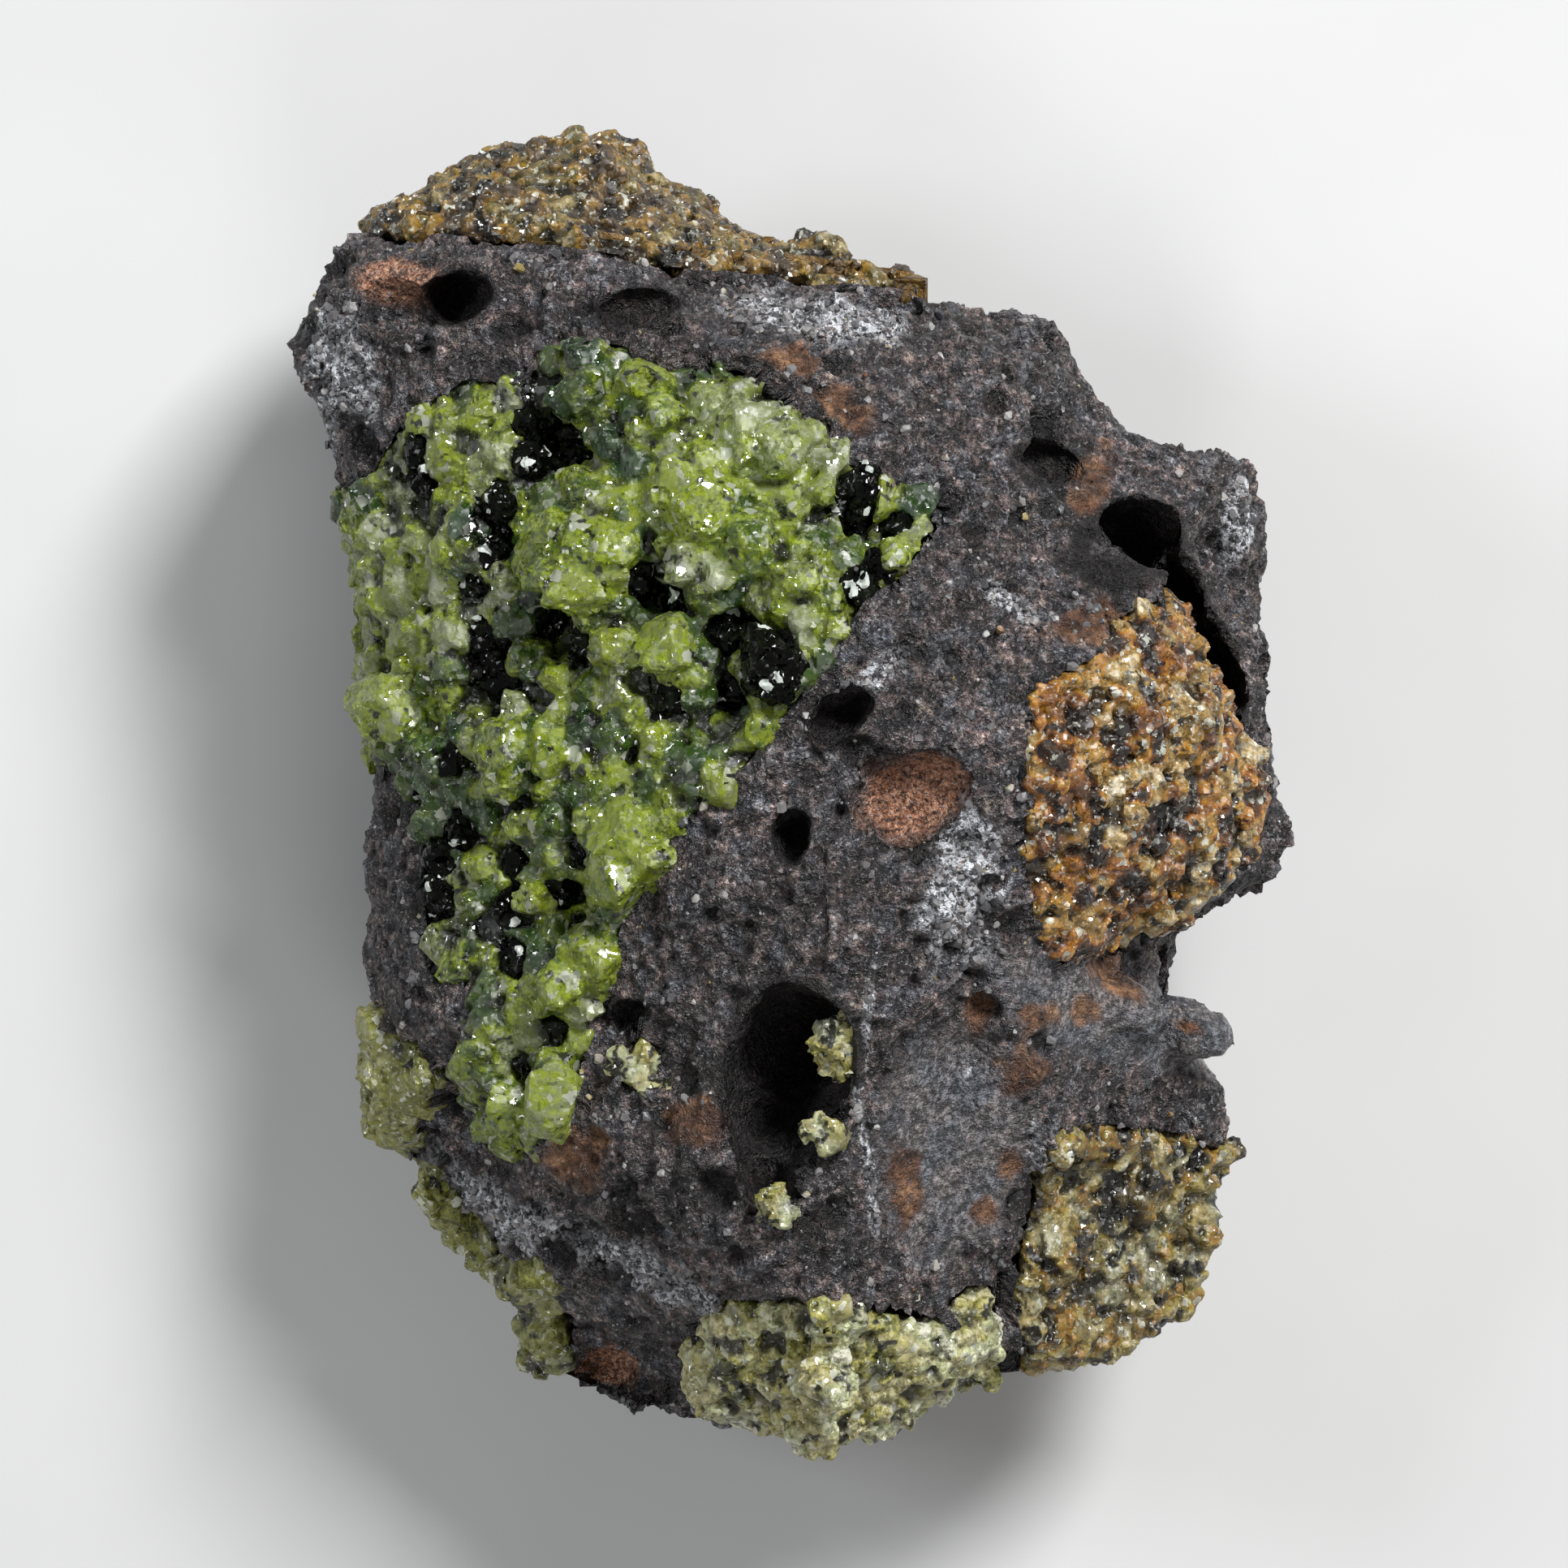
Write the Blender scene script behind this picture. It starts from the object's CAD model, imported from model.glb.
"""The looks of a peridot specimen: bubbly basalt with lumps of grown-together green and weathered grains.

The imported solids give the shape. The rock is their basalt with a finer, rougher skin, and each lump becomes
hundreds of flat-faced grains that fill the space along its surface. Places are in millimetres in the photo's
frame, looking down on the rock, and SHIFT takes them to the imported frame.
"""

import math
import random
from typing import NamedTuple

import bpy
import numpy as np
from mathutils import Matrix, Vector, geometry, kdtree, noise
from mathutils.bvhtree import BVHTree


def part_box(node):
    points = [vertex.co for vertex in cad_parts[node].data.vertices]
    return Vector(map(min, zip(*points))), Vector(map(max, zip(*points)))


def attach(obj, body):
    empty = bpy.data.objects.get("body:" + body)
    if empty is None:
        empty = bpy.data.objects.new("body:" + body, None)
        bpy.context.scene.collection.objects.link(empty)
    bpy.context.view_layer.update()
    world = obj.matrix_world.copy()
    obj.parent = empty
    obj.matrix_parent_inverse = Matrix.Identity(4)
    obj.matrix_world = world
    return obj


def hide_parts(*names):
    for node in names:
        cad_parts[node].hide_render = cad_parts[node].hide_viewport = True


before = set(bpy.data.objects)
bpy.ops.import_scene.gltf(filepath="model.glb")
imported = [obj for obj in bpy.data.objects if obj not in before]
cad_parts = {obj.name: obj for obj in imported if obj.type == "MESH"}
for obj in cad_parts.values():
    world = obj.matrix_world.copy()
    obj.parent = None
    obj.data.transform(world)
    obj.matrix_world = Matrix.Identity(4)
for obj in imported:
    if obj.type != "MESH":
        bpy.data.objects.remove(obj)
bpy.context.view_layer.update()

MM = 0.001
SHIFT = Vector((-0.2, 0.06))  # from the photo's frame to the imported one, in mm

# The camera's distance above the floor, and the width that its picture covers at the specimen's rim, in mm
CAMERA_HEIGHT = 400
RIM_HEIGHT = 12
PICTURE_WIDTH = 64.4
SENSOR = 36  # its width
FLOOR_WIDTH = 2.4  # in metres

# Voxels that the meshes are rebuilt with, in mm
ROCK_VOXEL = 0.2
MAIN_VOXEL = 0.13  # of the main lump's grains
FINE_VOXEL = 0.125  # of the small lumps' and the single crystals'
LUMP_VOXEL = 0.5  # of the plain copies of a lump's solid

# Depths below the solids' surfaces, in mm
FILL_DEPTH = 0.4  # of the gaps between grains in the main lump
FINE_FILL_DEPTH = 0.25  # the same in the small lumps
BED_DEPTH = 1.0  # of the cloudy bed inside the clear grains
COVERED_DEPTH = 0.05  # of the filler where rock covers it

PIECE_TRIANGLES = 190000  # about the most that a piece gets
HIDDEN_LOSS = 0.8  # how much of a lump's hidden surface is given up
BED_FLOOR = 0.3  # mm above the floor, where the filler and the bed end
HOLE_FLOOR = 3  # mm above the floor, where the holes' dark walls end
UNDERSIDE = -0.45  # faces of the rock that look further down than this don't show

# Mineral crumbs and small bubbles strewn over the rock: how many, their least radius and its spread
CRUMBS = 2200
CRUMB_LEAST = 0.06
CRUMB_SPREAD = 0.14
BUBBLES = 700
BUBBLE_LEAST = 0.22
BUBBLE_SPREAD = 0.75
BUBBLE_DEPTH = 0.9  # of half a ball's

# How near another solid must be, in mm
LUMP_AHEAD = 1.3  # for the rock's skin to reach down to a lump that it covers
LUMP_BESIDE = 0.7  # for the skin to be drawn to a lump's rim
LUMP_NEAR = 1.0  # for faces of the rock that look at a lump to be hidden, and for more crumbs
CRYSTAL_NEAR = 1.2  # for the skin to lie low and calm beside a single crystal
HIDDEN_REACH = 1.2  # for faces of a lump that look at the rock to be hidden
ROCK_ABOVE = 3  # for the rock over a lump's face to keep grains off it


# Meshes as arrays, in mm


def corners_of(mesh):
    co = np.empty(len(mesh.vertices) * 3, np.float32)
    mesh.vertices.foreach_get("co", co)
    return co.reshape(-1, 3).astype(float) / MM


def normals_of(mesh):
    normals = np.empty(len(mesh.vertices) * 3, np.float32)
    mesh.vertices.foreach_get("normal", normals)
    return normals.reshape(-1, 3).astype(float)


def set_corners(mesh, co):
    mesh.vertices.foreach_set("co", (co * MM).astype(np.float32).ravel())
    mesh.update()


def new_object(name, mesh):
    made = bpy.data.objects.new(name, mesh)
    bpy.context.scene.collection.objects.link(made)
    return made


def applied(piece):
    """The piece's mesh as its modifiers make it, which are then taken off."""
    graph = bpy.context.evaluated_depsgraph_get()
    mesh = bpy.data.meshes.new_from_object(piece.evaluated_get(graph))
    piece.modifiers.clear()
    return mesh


def remeshed(name, source, voxel, smoothing=0):
    """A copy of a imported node's mesh, rebuilt with even faces."""
    made = new_object(name, source.data.copy())
    made.data.materials.clear()
    remesh = made.modifiers.new("even", "REMESH")
    remesh.mode = "VOXEL"
    remesh.voxel_size = voxel * MM
    if smoothing:
        smooth = made.modifiers.new("smooth", "SMOOTH")
        smooth.factor = 0.5
        smooth.iterations = smoothing
    made.data = applied(made)
    return made


def tree_of(*objects):
    """A search tree, in mm, over the meshes of one or more objects."""
    corners, faces = [], []
    for source in objects:
        start = len(corners)
        corners += [Vector(c) for c in corners_of(source.data)]
        faces += [tuple(start + v for v in p.vertices) for p in source.data.polygons]
    return BVHTree.FromPolygons(corners, faces)


def thinned(piece, hidden, kept):
    """Leaves a share of the faces, taking them first where the surface is hidden."""
    group = piece.vertex_groups.new(name="hidden")
    group.add([i for i, h in enumerate(hidden) if h], 1.0, "REPLACE")
    thin = piece.modifiers.new("thin", "DECIMATE")
    thin.ratio = kept
    thin.vertex_group = "hidden"
    mesh = applied(piece)
    piece.vertex_groups.clear()
    piece.data = mesh


def point_tree(points):
    """A tree that finds the points near to a place."""
    tree = kdtree.KDTree(len(points) + 1)
    for i, p in enumerate(points):
        tree.insert(p, i)
    tree.balance()
    return tree


def distance_into(points, normals, tree, reach):
    """How far each point is from the tree's surface along its normal, or 0 if that is over the reach."""
    casts = [tree.ray_cast(Vector(p), Vector(n), reach)[3] for p, n in zip(points, normals)]
    return np.array([0 if distance is None else max(distance, 1e-3) for distance in casts])


def faces_into(points, normals, tree, reach):
    """Which points look at the tree's surface from nearer than the reach, and so are hidden."""
    return distance_into(points, normals, tree, reach) > 0


def near(points, tree, reach):
    """Which points are nearer to the tree's surface than the reach."""
    return np.array([tree.find_nearest(Vector(p), reach)[0] is not None for p in points])


def shade_smooth(mesh):
    mesh.polygons.foreach_set("use_smooth", [True] * len(mesh.polygons))


def add_attribute(mesh, name, values):
    layer = mesh.attributes.new(name, "FLOAT", "POINT")
    layer.data.foreach_set("value", np.asarray(values, np.float32))


def smooth_step(low, high, values):
    t = np.clip((values - low) / (high - low), 0, 1)
    return t * t * (3 - 2 * t)


def noise_at(points, size, offset=0.0):
    """Smooth noise from about -1 to 1 at each point, with lumps of that size in mm."""
    return np.array([noise.noise(Vector(p) / size + Vector((offset, 0, 0))) for p in points])


def facets_at(points, size, offset=0.0):
    """Heights of flat chips of that size in mm, each tilted its own way, as on a broken surface."""
    heights = np.empty(len(points))
    shift = Vector((offset, offset, 0))
    for i, p in enumerate(points):
        at = Vector(p) / size + shift
        middle = noise.voronoi(at)[1][0]
        tilt = noise.cell_vector(middle * 7) - Vector((0.5, 0.5, 0.5))
        heights[i] = (at - middle).dot(tilt)
    return heights * size


# The rock

# Places on the rock's skin: centre, half width and half height, turn in degrees
BROWN_LININGS = [
    (5.2, -0.5, 2.3, 1.45, 25), (-15.6, 20.4, 2.0, 1.0, -10), (-7.3, -24.0, 1.2, 0.7, 0),
]
RUSTY_BLOBS = [
    (-8.6, -15.0, 1.6, 1.5, 0), (4.9, -16.0, 0.9, 2.1, 5), (9.4, -11.9, 1.1, 1.5, -30),
    (9.2, -15.6, 0.6, 0.9, 0), (7.9, -17.3, 0.9, 0.6, 20), (7.8, -9.6, 0.7, 1.0, 0),
    (10.3, -9.4, 0.9, 0.8, 0), (12.2, -9.2, 0.7, 0.7, 0), (13.6, -7.9, 1.5, 0.6, -35),
    (16.7, -9.9, 0.9, 0.45, -30), (12.0, 6.6, 1.6, 0.8, 20), (-14.2, -4.2, 0.9, 1.2, 0),
    (2.6, 15.2, 1.6, 0.9, -30), (12.6, 12.2, 0.9, 1.6, -20), (0.6, 17.2, 1.6, 0.6, 0),
    (-3.6, -13.6, 1.4, 1.0, 0),
]
PALE_STREAKS = [
    (-12.4, -17.2, 3.0, 1.0, -38), (-8.0, -19.0, 4.2, 0.9, -20), (-3.6, -20.9, 2.4, 0.5, -15),
    (7.2, -4.2, 1.6, 3.4, 0), (3.8, 4.4, 1.8, 0.6, 35), (1.6, 18.9, 3.6, 1.0, -8),
    (-18.3, 16.6, 1.4, 2.8, 0), (18.9, 10.8, 0.8, 1.8, 0), (13.0, 9.6, 0.9, 0.8, 0),
    (9.5, 7.2, 1.6, 0.5, -20),
]
WHITE_VEINS = [
    (3.3, -10.4, 0.2, 3.2, -4), (3.6, -15.8, 0.22, 2.8, 8), (10.1, -16.0, 0.25, 2.4, 0),
    (7.6, -11.3, 0.16, 0.6, -35),
]
GLASSY_PLACES = [(6.9, -14.4, 3.2, 4.8, -8), (14.3, -9.4, 6.4, 2.2, -16)]
HOLES = [
    (0.1, -11.4, 2.6, 3.5, -8), (-0.5, -14.2, 1.5, 2.4, 6), (-0.7, -16.2, 0.7, 1.2, 8),
    (14.05, 9.7, 2.4, 1.65, 18), (16.6, 7.2, 0.9, 2.4, 25), (18.1, 4.2, 0.6, 1.8, 20),
    (-13.3, 19.7, 1.5, 1.0, 8), (-5.8, 19.2, 1.7, 0.8, 10), (10.7, 13.0, 1.6, 0.9, -4),
    (2.2, 2.7, 1.5, 0.7, 35), (0.3, -2.1, 0.7, 1.1, -5), (-6.3, -9.2, 0.7, 0.5, 30),
]


def in_place(points, place):
    """Distance of points from a place's middle, where 1 is its edge seen from above."""
    x, y, half_width, half_height, turn = place
    angle = math.radians(turn)
    dx = points[:, 0] - x - SHIFT.x
    dy = points[:, 1] - y - SHIFT.y
    along = dx * math.cos(angle) + dy * math.sin(angle)
    across = dy * math.cos(angle) - dx * math.sin(angle)
    return np.hypot(along / half_width, across / half_height)


def mask_of(points, places, ragged, inner=0.7, outer=1.15):
    """1 inside any of the places, 0 outside, with a ragged edge."""
    edge = ragged * noise_at(points, 1.1, 30)
    mask = np.zeros(len(points))
    for place in places:
        mask = np.maximum(mask, 1 - smooth_step(inner, outer, in_place(points, place) + edge))
    return mask


def small_bubbles(points, count, seed):
    """How far the skin sinks into small round bubbles strewn over it, most of them near the least size."""
    stream = random.Random(seed)
    tree = point_tree(points)
    depth = np.zeros(len(points))
    for _ in range(count):
        centre = points[stream.randrange(len(points))]
        radius = BUBBLE_LEAST + BUBBLE_SPREAD * stream.random() ** 3
        for _, i, distance in tree.find_range(centre, radius):
            bowl = math.sqrt(1 - (distance / radius) ** 2) * radius * BUBBLE_DEPTH
            depth[i] = max(depth[i], bowl)
    return depth


def rock_masks(points, normals):
    """What the skin is at each point, as shares from 0 to 1."""
    upper = smooth_step(-0.1, 0.25, normals[:, 2])
    return {
        "glassy": mask_of(points, GLASSY_PLACES, 0.1) * smooth_step(-0.8, -0.3, normals[:, 2]),
        "brown": mask_of(points, BROWN_LININGS, 0.2) * upper,
        "rusty": mask_of(points, RUSTY_BLOBS, 0.7, 0.4, 1.3) * upper,
        "pale": np.maximum(mask_of(points, PALE_STREAKS, 0.6), mask_of(points, WHITE_VEINS, 0.3)) * upper,
        "hollow": mask_of(points, HOLES, 0, 1.0, 1.25) * (points[:, 2] > HOLE_FLOOR),
    }


def roughened(points, normals, masks, lump_tree, crystal_tree):
    """The skin's points moved: rough and pitted in the open, drawn to the lumps' rims, calm by the crystals.

    Also gives its height at each point, from 0 in a pit to 1 on a ridge.
    """
    smooth = np.maximum(masks["glassy"], masks["brown"])
    in_hole = masks["hollow"] > 0.3
    rough = 1 - np.maximum(0.85 * smooth, 0.45 * masks["hollow"])
    coarse = 0.3 * noise_at(points, 2.8) + 0.35 * facets_at(points, 1.9) * (0.7 + noise_at(points, 4, 60))
    fine = 0.5 * facets_at(points, 0.8, 3) + 0.5 * facets_at(points, 0.42, 9)
    fine += 0.2 * noise_at(points, 0.5, 17)
    pits = small_bubbles(points, BUBBLES, 5) * (1 - np.maximum(smooth, masks["hollow"]))
    by_crystal = near(points, crystal_tree, CRYSTAL_NEAR)
    rise = ((coarse + fine) * rough - pits) * np.where(by_crystal, 0.3, 1) - np.where(by_crystal, 0.35, 0.2)
    to_lump = distance_into(points, normals, lump_tree, LUMP_AHEAD) * ~in_hole
    beside = [lump_tree.find_nearest(Vector(p), LUMP_BESIDE)[0] for p in points]
    to_rim = np.array([(0, 0, 0) if at is None else at - Vector(p) for at, p in zip(beside, points)])
    pull = 1 - smooth_step(0.5 * LUMP_BESIDE, LUMP_BESIDE, np.linalg.norm(to_rim, axis=1))
    moved = points + normals * np.where(to_lump > 0, to_lump + 0.1 + 0.3 * fine, rise)[:, None]
    moved += to_rim * np.where((to_lump > 0) | by_crystal | in_hole, 0, pull)[:, None]
    moved[:, 2] = np.maximum(moved[:, 2], 0)
    return moved, np.clip(0.5 + fine * 1.2 + 0.4 * coarse - pits, 0, 1)


def make_rock(lump_tree, crystal_tree):
    rock = remeshed("basalt_rock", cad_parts["basalt_matrix"], ROCK_VOXEL)
    points, normals = corners_of(rock.data), normals_of(rock.data)
    hidden = faces_into(points, normals, lump_tree, LUMP_NEAR) | (normals[:, 2] < UNDERSIDE)
    thinned(rock, hidden, min(1, PIECE_TRIANGLES / (2 * len(rock.data.polygons))))
    mesh = rock.data
    points, normals = corners_of(mesh), normals_of(mesh)
    masks = rock_masks(points, normals)
    near_lumps = near(points, lump_tree, LUMP_NEAR)
    points, height = roughened(points, normals, masks, lump_tree, crystal_tree)
    set_corners(mesh, points)
    for name, values in masks.items():
        add_attribute(mesh, name, values)
    add_attribute(mesh, "height", height)
    shade_smooth(mesh)
    mesh.materials.append(rock_material())
    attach(rock, "root")
    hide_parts("basalt_matrix")
    rough_skin = (masks["hollow"] < 0.1) & (masks["brown"] < 0.1) & (masks["glassy"] < 0.3)
    open_top = rough_skin & (normals[:, 2] > 0.1)
    make_crumbs(points, normals, np.where(open_top, 0.1 + 1.6 * masks["pale"] + 0.2 * near_lumps, 0))


def make_crumbs(points, normals, chances):
    """Mineral crumbs that stick to the rock, thick where its skin is pale."""
    stream = random.Random(41)
    numbers = np.random.default_rng(42)
    chosen = numbers.choice(len(points), CRUMBS, replace=False, p=chances / chances.sum())
    seeds = []
    for i in chosen:
        radius = CRUMB_LEAST + CRUMB_SPREAD * stream.random() ** 3
        seeds.append(Seed(Vector(points[i]), Vector(normals[i]), radius, "crumb"))
    mesh = grain_mesh("mineral_crumbs", seeds, [], seed=43, crack=0)
    crumbs = new_object("mineral_crumbs", mesh)
    add_attribute(mesh, "tone", spread_tones(corners_of(mesh), seeds, [stream.random() for _ in seeds]))
    mesh.materials.append(crumb_material())
    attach(crumbs, "root")


# The grains

# A free grain has 14 sides, spread evenly by the golden angle
GRAIN_SIDES = [
    Vector((math.sqrt(1 - z * z) * math.cos(i * 2.4), math.sqrt(1 - z * z) * math.sin(i * 2.4), z))
    for i, z in enumerate(np.linspace(-0.93, 0.93, 14))
]
GRAIN_JITTER = 0.42  # how far the sides are turned from their even places
GRAIN_SPREAD = (0.82, 1.1)  # how far from the middle they stand, in half widths
GRAIN_REACH = 1.25  # the furthest that a grain reaches from its middle, in half widths
GRAIN_LEAST = 0.12  # the least that a neighbour leaves of it, in half widths
CRACK = -0.02  # mm between a grain and the border to its neighbour: less than 0, so they overlap
GRAIN_MOST = 3  # mm, further than any grain reaches
SEARCH = 4  # mm, further than any two grains that touch are apart
ON_PLANE = 1e-3  # mm, how far from a plane a corner may be to count as on it
TONE_BLEND = 0.12  # mm over which one grain's tone goes into the next one's
TONE_PATCH = 2.6  # mm, the size of the patches of like tones in the small lumps
SHARP_EDGE = 20  # degrees
OLIVINE_IOR = 1.67


class Seed:
    """One grain: its spot on the surface, its middle, half size and kind, and its tone where that is set."""

    def __init__(self, spot, normal, radius, kind, sunk=0.0, tone=None):
        self.spot = spot
        self.at = spot - normal * radius * sunk
        self.radius = radius
        self.kind = kind
        self.tone = tone


def surface_samples(node, rock_tree, count, seed, reach):
    """Points and normals spread over a lump's surface, but not where rock within reach lies over it."""
    smooth = remeshed("surface", node, LUMP_VOXEL, smoothing=6)
    mesh = smooth.data
    stream = random.Random(seed)
    corners = [Vector(c) for c in corners_of(mesh)]
    faces, areas = [], []
    for polygon in mesh.polygons:
        middle = Vector(polygon.center) / MM
        _, _, _, distance = rock_tree.find_nearest(middle)
        if distance is not None and distance < reach:
            if rock_tree.ray_cast(middle, polygon.normal, ROCK_ABOVE)[0] is not None:
                continue
        faces.append((tuple(polygon.vertices), polygon.normal.copy()))
        areas.append(polygon.area)
    found = []
    for vertices, normal in stream.choices(faces, weights=areas, k=count):
        a, b, c = (corners[i] for i in stream.sample(vertices, 3))
        u, v = stream.random(), stream.random()
        if u + v > 1:
            u, v = 1 - u, 1 - v
        found.append((a + (b - a) * u + (c - a) * v, normal))
    bpy.data.objects.remove(smooth)
    return found


def pack_seeds(samples, sizes, first, seed, sunk, overlap):
    """Seeds over the samples, the named ones first, then from the largest size to the smallest."""
    stream = random.Random(seed)
    seeds = list(first)
    for low, high, kind_chances in sizes:
        tree = point_tree([s.spot for s in seeds])
        added = []
        for at, normal in samples:
            radius = stream.uniform(low, high)
            close = tree.find_range(at, SEARCH)
            if any(d < (radius + seeds[i].radius) * overlap for _, i, d in close):
                continue
            if any((at - s.spot).length < (radius + s.radius) * overlap for s in added):
                continue
            kind = stream.choices(list(kind_chances), weights=kind_chances.values())[0]
            added.append(Seed(at, normal, radius, kind, stream.uniform(*sunk)))
        seeds += added
    return seeds


def random_direction(stream):
    z = stream.uniform(-1, 1)
    angle = stream.uniform(0, 2 * math.pi)
    flat = math.sqrt(1 - z * z)
    return Vector((flat * math.cos(angle), flat * math.sin(angle), z))


def grain_planes(seed, neighbours, stream, crack):
    """The flat faces that bound a grain: its own, and those it shares with its neighbours."""
    planes = []
    axis = random_direction(stream)
    for around in GRAIN_SIDES:
        direction = (around + random_direction(stream) * GRAIN_JITTER).normalized()
        stretch = 0.8 + 0.4 * abs(direction.dot(axis))  # longest along the axis
        planes.append((direction, seed.radius * stretch * stream.uniform(*GRAIN_SPREAD)))
    for other in neighbours:
        towards = other.at - seed.at
        gap = towards.length
        if gap < 1e-6 or gap > GRAIN_REACH * (seed.radius + other.radius):
            continue
        share = 0.5 * (gap * gap + seed.radius**2 - other.radius**2) / gap
        planes.append((towards / gap, max(share - crack, GRAIN_LEAST * seed.radius)))
    return planes


def grain_faces(planes):
    """The corners and flat faces of the solid inside the planes."""
    bounds = [Vector((*direction, -distance)) for direction, distance in planes]
    corners, _ = geometry.points_in_planes(bounds, 1e-4, 1e-5)
    if len(corners) < 4:
        return [], []
    points = np.array(corners)
    points = points[np.unique(np.round(points, 4), axis=0, return_index=True)[1]]
    faces = []
    for direction, distance in planes:
        on = np.nonzero(np.abs(points @ np.array(direction) - distance) < ON_PLANE)[0]
        if len(on) < 3:
            continue
        side = direction.orthogonal().normalized()
        up = direction.cross(side)
        around = points[on] - points[on].mean(axis=0)
        angles = np.arctan2(around @ np.array(up), around @ np.array(side))
        faces.append(on[np.argsort(angles)].tolist())
    return points, faces


def grain_mesh(name, seeds, everyone, seed, crack):
    """One mesh of all the grains, each shaped by all of its neighbours."""
    stream = random.Random(seed)
    tree = point_tree([s.at for s in everyone])
    corners, faces = [], []
    for s in seeds:
        close = [everyone[i] for _, i, _ in tree.find_range(s.at, GRAIN_REACH * s.radius + GRAIN_MOST)]
        planes = grain_planes(s, [other for other in close if other is not s], stream, crack)
        points, sides = grain_faces(planes)
        faces += [[len(corners) + i for i in side] for side in sides]
        corners += [(s.at + Vector(p)) * MM for p in points]
    mesh = bpy.data.meshes.new(name)
    mesh.from_pydata(corners, [], faces)
    return mesh


def sunk_copy(name, node, depth, rock_tree=None):
    """A lump's solid, smoothed and sunk by the depth, or by less where rock covers it."""
    made = remeshed(name, node, LUMP_VOXEL, smoothing=4)
    points, normals = corners_of(made.data), normals_of(made.data)
    if rock_tree:
        depth = np.where(faces_into(points, normals, rock_tree, HIDDEN_REACH), COVERED_DEPTH, depth)[:, None]
    points -= normals * depth
    points[:, 2] = np.maximum(points[:, 2], BED_FLOOR)
    set_corners(made.data, points)
    return made


def joined(name, objects):
    """Several objects as one, with their material slots side by side."""
    with bpy.context.temp_override(
        active_object=objects[0], object=objects[0], selected_objects=objects,
        selected_editable_objects=objects,
    ):
        bpy.ops.object.join()
    objects[0].name = name
    objects[0].data.name = name
    return objects[0]


def spread_tones(points, seeds, tones):
    """The tone of the nearest grain, blended a little over its edges."""
    tree = point_tree([s.at for s in seeds])
    spread = np.zeros(len(points))
    for row, p in enumerate(points):
        grains = [(distance - seeds[i].radius, tones[i]) for _, i, distance in tree.find_n(Vector(p), 3)]
        nearest = min(d for d, _ in grains)
        weights = [math.exp((nearest - d) / TONE_BLEND) for d, _ in grains]
        spread[row] = sum(w * t for w, (_, t) in zip(weights, grains)) / sum(weights)
    return spread


def grown_solid(name, grains, filler, voxel):
    """Grains grown into one solid, with the filler between them."""
    parts = [new_object(name + "_parts", grains)]
    if filler:
        parts.append(filler)
    rough = joined(name + "_parts", parts)
    solid = remeshed(name, rough, voxel, smoothing=1)
    bpy.data.objects.remove(rough)
    return solid


def finish_surface(solid, seeds, tones, level, chip, chip_height):
    """Chips and small unevenness on a grown solid, with its grains' tones and its depth as attributes."""
    mesh = solid.data
    points, normals = corners_of(mesh), normals_of(mesh)
    add_attribute(mesh, "tone", spread_tones(points, seeds, tones))
    deep = np.zeros(len(points))
    if level:
        for i, p in enumerate(points):
            at, normal, _, _ = level.find_nearest(Vector(p))
            deep[i] = (at - Vector(p)).dot(normal)
    add_attribute(mesh, "deep", np.clip(0.5 + deep + 0.25 * noise_at(points, 0.9, 50), 0, 1))
    add_attribute(mesh, "broken", 0.5 + 0.35 * noise_at(points, 2.2, 70))
    chips = chip_height * (facets_at(points, chip) + 0.5 * facets_at(points, 0.45 * chip, 8))
    points += normals * (chips + 0.02 * noise_at(points, 0.3))[:, None]
    points[:, 2] = np.maximum(points[:, 2], 0)
    set_corners(mesh, points)
    shade_smooth(mesh)
    mesh.set_sharp_from_angle(angle=math.radians(SHARP_EDGE))


def make_lump(name, node_name, seeds, everyone, grain, bed, tones, seed, voxel, fill_depth, rock_tree):
    """A lump as one piece: the seeds' grains grown into a clear solid, with a cloudy bed inside it."""
    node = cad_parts[node_name]
    grains = grain_mesh(name, seeds, everyone, seed, CRACK)
    solid = grown_solid(name, grains, sunk_copy(name + "_filler", node, fill_depth, rock_tree), voxel)
    under = sunk_copy(name + "_bed", node, BED_DEPTH)
    hidden = faces_into(corners_of(solid.data), normals_of(solid.data), rock_tree, HIDDEN_REACH)
    kept = 1 - HIDDEN_LOSS * np.mean(hidden)
    allowed = PIECE_TRIANGLES - 2 * len(under.data.polygons)
    thinned(solid, hidden, min(kept, allowed / (2 * len(solid.data.polygons))))
    surface = sunk_copy(name + "_level", node, 0)
    finish_surface(solid, seeds, tones, tree_of(surface), chip=6 * voxel, chip_height=0.32)
    bpy.data.objects.remove(surface)
    solid.data.materials.append(grain)
    shade_smooth(under.data)
    under.data.materials.append(bed)
    piece = joined(name, [solid, under])
    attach(piece, "root")
    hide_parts(node_name)


# Materials


def new_material(name):
    material = bpy.data.materials.new(name)
    material.use_nodes = True
    return material


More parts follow.
